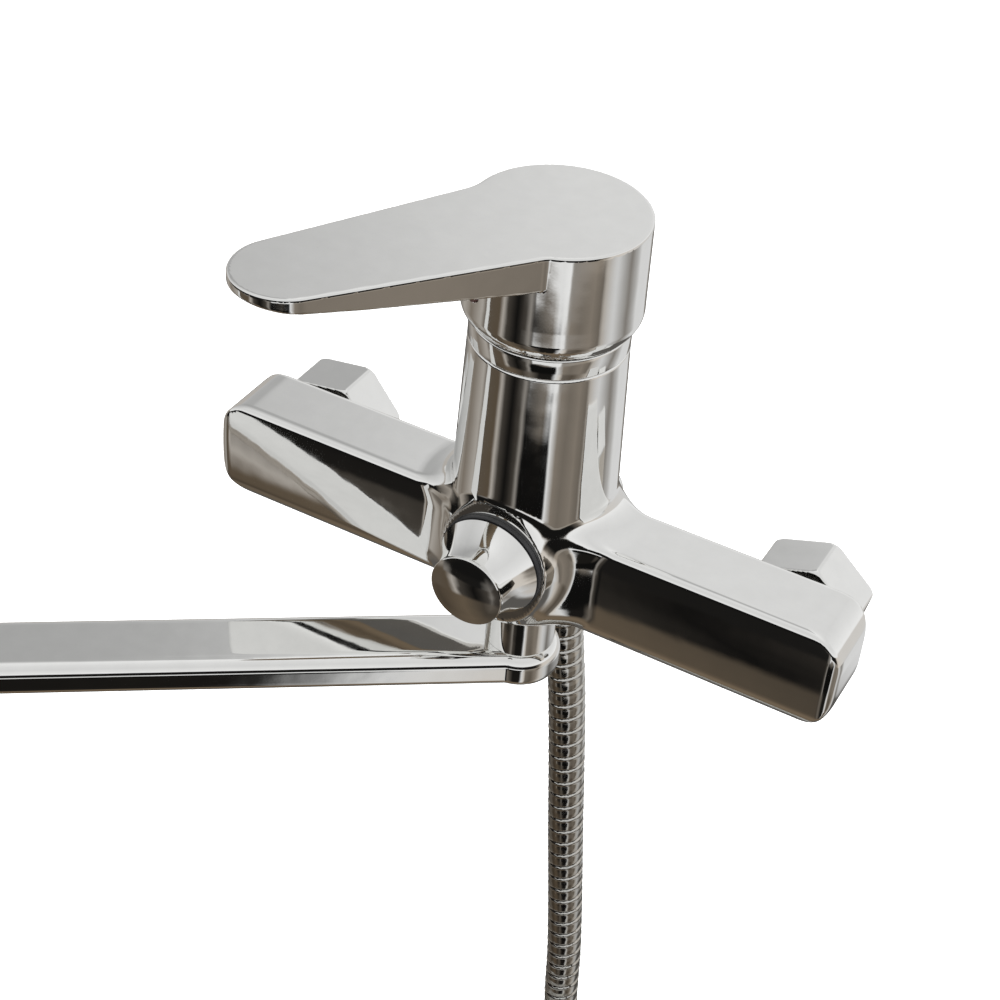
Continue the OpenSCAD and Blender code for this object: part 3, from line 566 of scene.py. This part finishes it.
def nut_shape(turn_deg):
    """A hexagon nut round the wall's axis, turned by an angle, with its corners turned off at both ends."""
    across = [math.radians(turn_deg + 30 + 60 * k) for k in range(3)]

    def shape(x, y, z):
        # the nut's own axes: a and b across, h along the axis from the wall
        a, b, h = x, z, -y
        flats = [np.abs(a * math.cos(t) + b * math.sin(t)) - HALF_FLATS for t in across]
        d = r_meet(r_meet(flats[0], flats[1], 0.5), flats[2], 0.5)
        r = np.hypot(a, b)
        d = r_meet(d, np.maximum(h - NUT_LENGTH, -h), 0.3)
        d = r_meet(d, (r - CORNER_R + (h - NUT_LENGTH) * CHAMFER) * 0.8, 0.25)
        d = r_meet(d, (r - CORNER_R - h * CHAMFER) * 0.8, 0.25)
        # the thread, its relief, and the hole that the bush passes through
        d = cut(d, np.maximum(r - THREAD_R, h - THREAD_END))
        d = cut(d, np.maximum(r - RELIEF_R, h - RELIEF_END))
        return cut(d, r - NUT_HOLE_R)
    return shape


for name, x0, turn_deg in (("union_nut_hot", -INLET_X, 9), ("union_nut_cold", INLET_X, 19)):
    v, f, n = net(nut_shape(turn_deg), (-18.2, -15.6, -18.2), (18.2, 1, 18.2), 0.45)
    o = new_object("hex_" + name, v + np.array([x0, 0, 0]), f.tolist(), n)
    finish_piece(o, CHROME, [name])

# ---------------------------------------------------------------- turned pieces
ring = [(19.3, 69.0), (20.9, 69.0)]
ring += arc((20.85, 69.25), 0.25, -90, 0, 3) + arc((20.5, 74.3), 0.6, 0, 90, 6)
ring += [(13.3, 74.9), (13.2, 74.8), (13.2, 73.2), (19.3, 73.2)]
cover = lathe("cover_ring_turned", ring, 160, origin=(0, BARREL_Y, 0))
finish_piece(cover, CHROME, ["cover_ring"])

# a black ring round the knob's base: a dark piece standing in for the shadow gap and dark reflection round
# the knob (painted shade)
shadow_ring_profile = [(5, 49.0), (14.9, 49.0), (15.0, 49.1), (15.0, 50.1), (14.8, 50.3), (5, 50.3)]
painted_shadow_ring = lathe("painted_shadow_ring", shadow_ring_profile, 128, "y", (0, 0, KNOB_Z))
finish_piece(painted_shadow_ring, BLACK, ["diverter_ring"])

# the knob: back edge, a waisted cone, a fine rim and a domed front
KNOB_BACK_R, KNOB_RIM_R, KNOB_WAIST = 14.6, 10.35, 0.9
CONE_FROM, CONE_LONG, DOME_FROM, DOME_R, DOME_RISE = 50.95, 11.65, 63.3, 9.9, 1.25
side_line = [(14.1, 50.47), (14.45, 50.6), (KNOB_BACK_R, CONE_FROM)]
for k in range(1, 13):
    s = k / 12
    r = KNOB_BACK_R + (KNOB_RIM_R - KNOB_BACK_R) * s - KNOB_WAIST * math.sin(math.pi * s)
    side_line.append((r, CONE_FROM + CONE_LONG * s))
side_line += [(10.5, 62.9), (10.52, 63.1), (10.36, 63.3), (10.0, 63.36)]
for k in range(1, 13):
    r = DOME_R * (1 - k / 12)
    side_line.append((r, DOME_FROM + DOME_RISE * (1 - (r / DOME_R) ** 2)))
knob_profile = [(4.02, 58.1), (4.02, 57.0), (10.4, 56.45), (10.4, 50.47)] + side_line + [(0, 58.1)]
knob = lathe("knob_turned", knob_profile, 144, "y", (0, 0, KNOB_Z), 40)
finish_piece(knob, CHROME, ["diverter_knob"])

# ---------------------------------------------------------------- CAD nodes that stay
for name, o in frame["nodes"].items():
    first = o.material_slots[0].material if o.material_slots else None
    slot = first.name.split(".")[0] if first else ""
    for s in o.material_slots:
        # the inlet bushes take the near-black metal, painted shade for the gap between nut and arm
        s.material = BUSH_PAINTED_SHADE if name.startswith("inlet_bush") else BY_SLOT.get(slot, STEEL)

# ---------------------------------------------------------------- floor, world and lights
bpy.context.scene.view_settings.view_transform = "Standard"
FLOOR_Z, FLOOR_HALF = -1.3, 9
floor_mesh = bpy.data.meshes.new("floor")
floor_corners = [(x * FLOOR_HALF, y * FLOOR_HALF, FLOOR_Z) for x, y in ((-1, -1), (1, -1), (1, 1), (-1, 1))]
floor_mesh.from_pydata(floor_corners, [], [(0, 1, 2, 3)])
floor = bpy.data.objects.new("floor", floor_mesh)
bpy.context.scene.collection.objects.link(floor)
floor.visible_glossy = False  # the metal reflects the studio's bands below, not the floor
floor_material = bpy.data.materials.new("pale_floor")
floor_material.use_nodes = True
floor_bsdf = floor_material.node_tree.nodes["Principled BSDF"]
floor_bsdf.inputs["Base Color"].default_value = (0.93, 0.93, 0.93, 1)
floor_bsdf.inputs["Roughness"].default_value = 1.0
floor_bsdf.inputs["Emission Color"].default_value = (1, 1, 1, 1)
floor_bsdf.inputs["Emission Strength"].default_value = 0.6
floor_mesh.materials.append(floor_material)


def grey(v, warm=0.0):
    """A linear grey from a display value of 0 to 255, warmed a little."""
    lin = lambda s: s / 12.92 if s <= 0.04045 else ((s + 0.055) / 1.055) ** 2.4
    return tuple(lin(min(v * k, 255) / 255) for k in (1 + 0.072 * warm, 1.0, 1 - 0.085 * warm))


world = bpy.data.worlds.new("studio")
bpy.context.scene.world = world
world.use_nodes = True
nt = world.node_tree
nt.nodes.clear()


def node(kind, **values):
    """A node of the world's tree."""
    n = nt.nodes.new(kind)
    for k, val in values.items():
        setattr(n, k, val)
    return n


def math_node(op, a, b=None):
    """The result of a sum on one or two sockets or numbers."""
    n = node("ShaderNodeMath", operation=op)
    for i, s in enumerate((a, b)):
        if s is None:
            continue
        if isinstance(s, (int, float)):
            n.inputs[i].default_value = s
        else:
            nt.links.new(s, n.inputs[i])
    return n.outputs[0]


def ramp(fac, stops):
    """A colour by place along the stops."""
    n = node("ShaderNodeValToRGB")
    ramp_stops(n, stops)
    nt.links.new(fac, n.inputs["Fac"])
    return n.outputs["Color"]


def mix(fac, a, b, blend="MIX"):
    """Colour a where the factor is 0 and b where it is 1."""
    n = node("ShaderNodeMix", data_type="RGBA", blend_type=blend)
    if isinstance(fac, (int, float)):
        n.inputs["Factor"].default_value = fac
    else:
        nt.links.new(fac, n.inputs["Factor"])
    nt.links.new(a, n.inputs[6])
    nt.links.new(b, n.inputs[7])
    return n.outputs[2]


def plain(colour):
    """One colour."""
    n = node("ShaderNodeRGB")
    n.outputs[0].default_value = (*colour, 1)
    return n.outputs[0]


def step_between(value, a, b):
    """0 below a and 1 above b, eased."""
    n = node("ShaderNodeMapRange", interpolation_type="SMOOTHSTEP")
    nt.links.new(value, n.inputs["Value"])
    n.inputs["From Min"].default_value, n.inputs["From Max"].default_value = a, b
    return n.outputs["Result"]


# directions in degrees, round from straight ahead and up from the horizon, stirred a little by slow noise
STIR_DEGREES = 9.0
tc = node("ShaderNodeTexCoord")
sep = node("ShaderNodeSeparateXYZ")
nt.links.new(tc.outputs["Generated"], sep.inputs[0])
dx, dy, dz = sep.outputs
turnaround = math_node("DIVIDE", math_node("ARCTAN2", dx, math_node("MULTIPLY", dy, -1.0)), 2 * math.pi)
rise01 = math_node("ADD", math_node("MULTIPLY", math_node("ARCSINE", dz), 1 / math.pi), 0.5)
stir = node("ShaderNodeTexNoise")
stir.inputs["Scale"].default_value = 5.0
stir.inputs["Detail"].default_value = 2.0
nt.links.new(tc.outputs["Generated"], stir.inputs["Vector"])
unrest = math_node("MULTIPLY", math_node("SUBTRACT", stir.outputs["Fac"], 0.5), STIR_DEGREES)
az_deg = math_node("ADD", math_node("MULTIPLY", turnaround, 360), unrest)
el_deg = math_node("MULTIPLY", math_node("ARCSINE", dz), 180 / math.pi)


def around(stops, span=(-180, 180)):
    """Bands round the room, each stop a direction in degrees, a tone of 0 to 255 and its warmth."""
    fac = math_node("DIVIDE", math_node("SUBTRACT", az_deg, span[0]), span[1] - span[0])
    return ramp(fac, [((a - span[0]) / (span[1] - span[0]), grey(v, w)) for a, v, w in stops])


def off_azimuth(a, slope):
    """How far round a direction is from a, times a slope."""
    return math_node("MULTIPLY", math_node("ABSOLUTE", math_node("SUBTRACT", az_deg, a)), slope)


# Along the floor: a brown wall on the left, a dark doorway ahead, a pale window on its right, then tiles.
LEFT_AND_AHEAD = [
    (-180, 150, 0.5), (-165, 85, 0.5), (-140, 90, 0.5), (-110, 160, 0.5), (-90, 115, 1), (-70, 160, 0.5),
    (-60, 80, 1.5), (-40, 75, 2), (-35, 165, 0.5), (-30, 60, 1), (-15, 15, 0.5), (-5, 60, 1), (0, 130, 0.5),
    (4, 15, 0.5), (38, 15, 0.5), (42, 225, 0), (50, 120, 1)]
RIGHT = [
    (50, 120, 1), (60, 105, 1), (75, 120, 1), (85, 100, 1), (90, 170, 0.5), (105, 205, 0), (130, 125, 0.5),
    (150, 215, 0), (180, 215, 0)]
# At shelf height: the wall's shadow, dark furniture ahead, the window, then tiles.
SHELF = [
    (-180, 200, 0), (-120, 170, 0.5), (-65, 120, 1), (-60, 60, 1), (-40, 120, 0.5), (-35, 25, 1),
    (-10, 25, 0.5), (0, 130, 0.5), (5, 90, 0.5), (30, 110, 1), (35, 225, 0), (45, 235, 0), (48, 135, 0.5),
    (80, 140, 1), (90, 200, 0.5), (180, 210, 0)]
# Below both: a brown floor, which the doorway and the window cross.
BELOW = [
    (-180, 85, 0.5), (-110, 85, 0.5), (-80, 100, 1), (-60, 60, 2), (-30, 85, 2), (-10, 60, 1.5), (0, 95, 1),
    (15, 25, 1), (35, 25, 1), (41, 215, 0), (47, 195, 0.5), (52, 95, 1), (65, 75, 1.5), (80, 120, 1),
    (95, 185, 0.5), (110, 195, 0), (140, 120, 0.5), (180, 85, 0.5)]
DEEP = [(0.0, grey(80, 2)), (0.1, grey(100, 2)), (0.2, grey(75, 2)), (0.25, grey(85, 2))]
CEILING = [(0.5, grey(242)), (0.6, grey(228)), (0.70, grey(219)), (0.85, grey(226)), (1.0, grey(242))]
BACK_LEFT = [
    (-180, 255, 0), (-161, 255, 0), (-154, 250, 0), (-147, 228, 0), (-140, 200, 0), (-128, 190, 0),
    (-110, 220, 0), (-60, 250, 0), (180, 255, 0)]

along_floor = mix(step_between(az_deg, 49.9, 50.1), around(LEFT_AND_AHEAD), around(RIGHT, (50, 180)))
# a pale tongue of the shelf's band hangs down where the dark doorway starts
shelf = around(SHELF)
tongue = step_between(math_node("ADD", el_deg, off_azimuth(18, 0.06)), -30.6, -29.0)
tongue = math_node("MULTIPLY", tongue, step_between(off_azimuth(20, -1.0), -16, -14))
shelf = mix(tongue, shelf, plain(grey(228)))
shelf_edge = step_between(math_node("SUBTRACT", el_deg, off_azimuth(25, 0.05)), -33.2, -31.2)
wall = mix(shelf_edge, along_floor, shelf)
deep = mix(step_between(el_deg, -66, -54), ramp(rise01, DEEP), around(BELOW))
deep = mix(step_between(math_node("ABSOLUTE", az_deg), 110, 130), deep, plain(grey(86, 0.4)))
room = mix(step_between(el_deg, -44, -40.5), deep, wall)
# the dark band of furniture under the horizon, in front only
ahead = step_between(math_node("MULTIPLY", math_node("ABSOLUTE", az_deg), -1.0), -95, -70)
under_horizon = math_node("SUBTRACT", 1.0, step_between(el_deg, -3, 1))
furniture = math_node("MULTIPLY", math_node("MULTIPLY", step_between(el_deg, -26, -22), under_horizon), ahead)
room = mix(furniture, room, plain(grey(20, 0.5)))
# the pale ceiling and walls above the horizon, shaded behind on the left
high = mix(1.0, ramp(rise01, CEILING), around(BACK_LEFT), "MULTIPLY")
room = mix(step_between(el_deg, -2, 2), room, high)
# the background behind the object is plain white
seen = node("ShaderNodeLightPath")
final = mix(seen.outputs["Is Camera Ray"], room, plain((1, 1, 1)))
bg = node("ShaderNodeBackground")
nt.links.new(final, bg.inputs["Color"])
bg.inputs["Strength"].default_value = 1.0
out = node("ShaderNodeOutputWorld")
nt.links.new(bg.outputs[0], out.inputs["Surface"])


WASH_AT, WASH_AIM, WASH_SIZE, WASH_WATTS = (0, 0, 2.6), (0, 0, -0.4), 4, 160
wash_data = bpy.data.lights.new("floor_wash", "AREA")
wash_data.shape = "RECTANGLE"
wash_data.size = wash_data.size_y = WASH_SIZE
wash_data.energy = WASH_WATTS
wash = bpy.data.objects.new("floor_wash", wash_data)
bpy.context.scene.collection.objects.link(wash)
wash.location = WASH_AT
wash.rotation_mode = "QUATERNION"
wash.rotation_quaternion = (Vector(WASH_AIM) - Vector(WASH_AT)).to_track_quat("-Z", "Y")
wash.visible_glossy = False
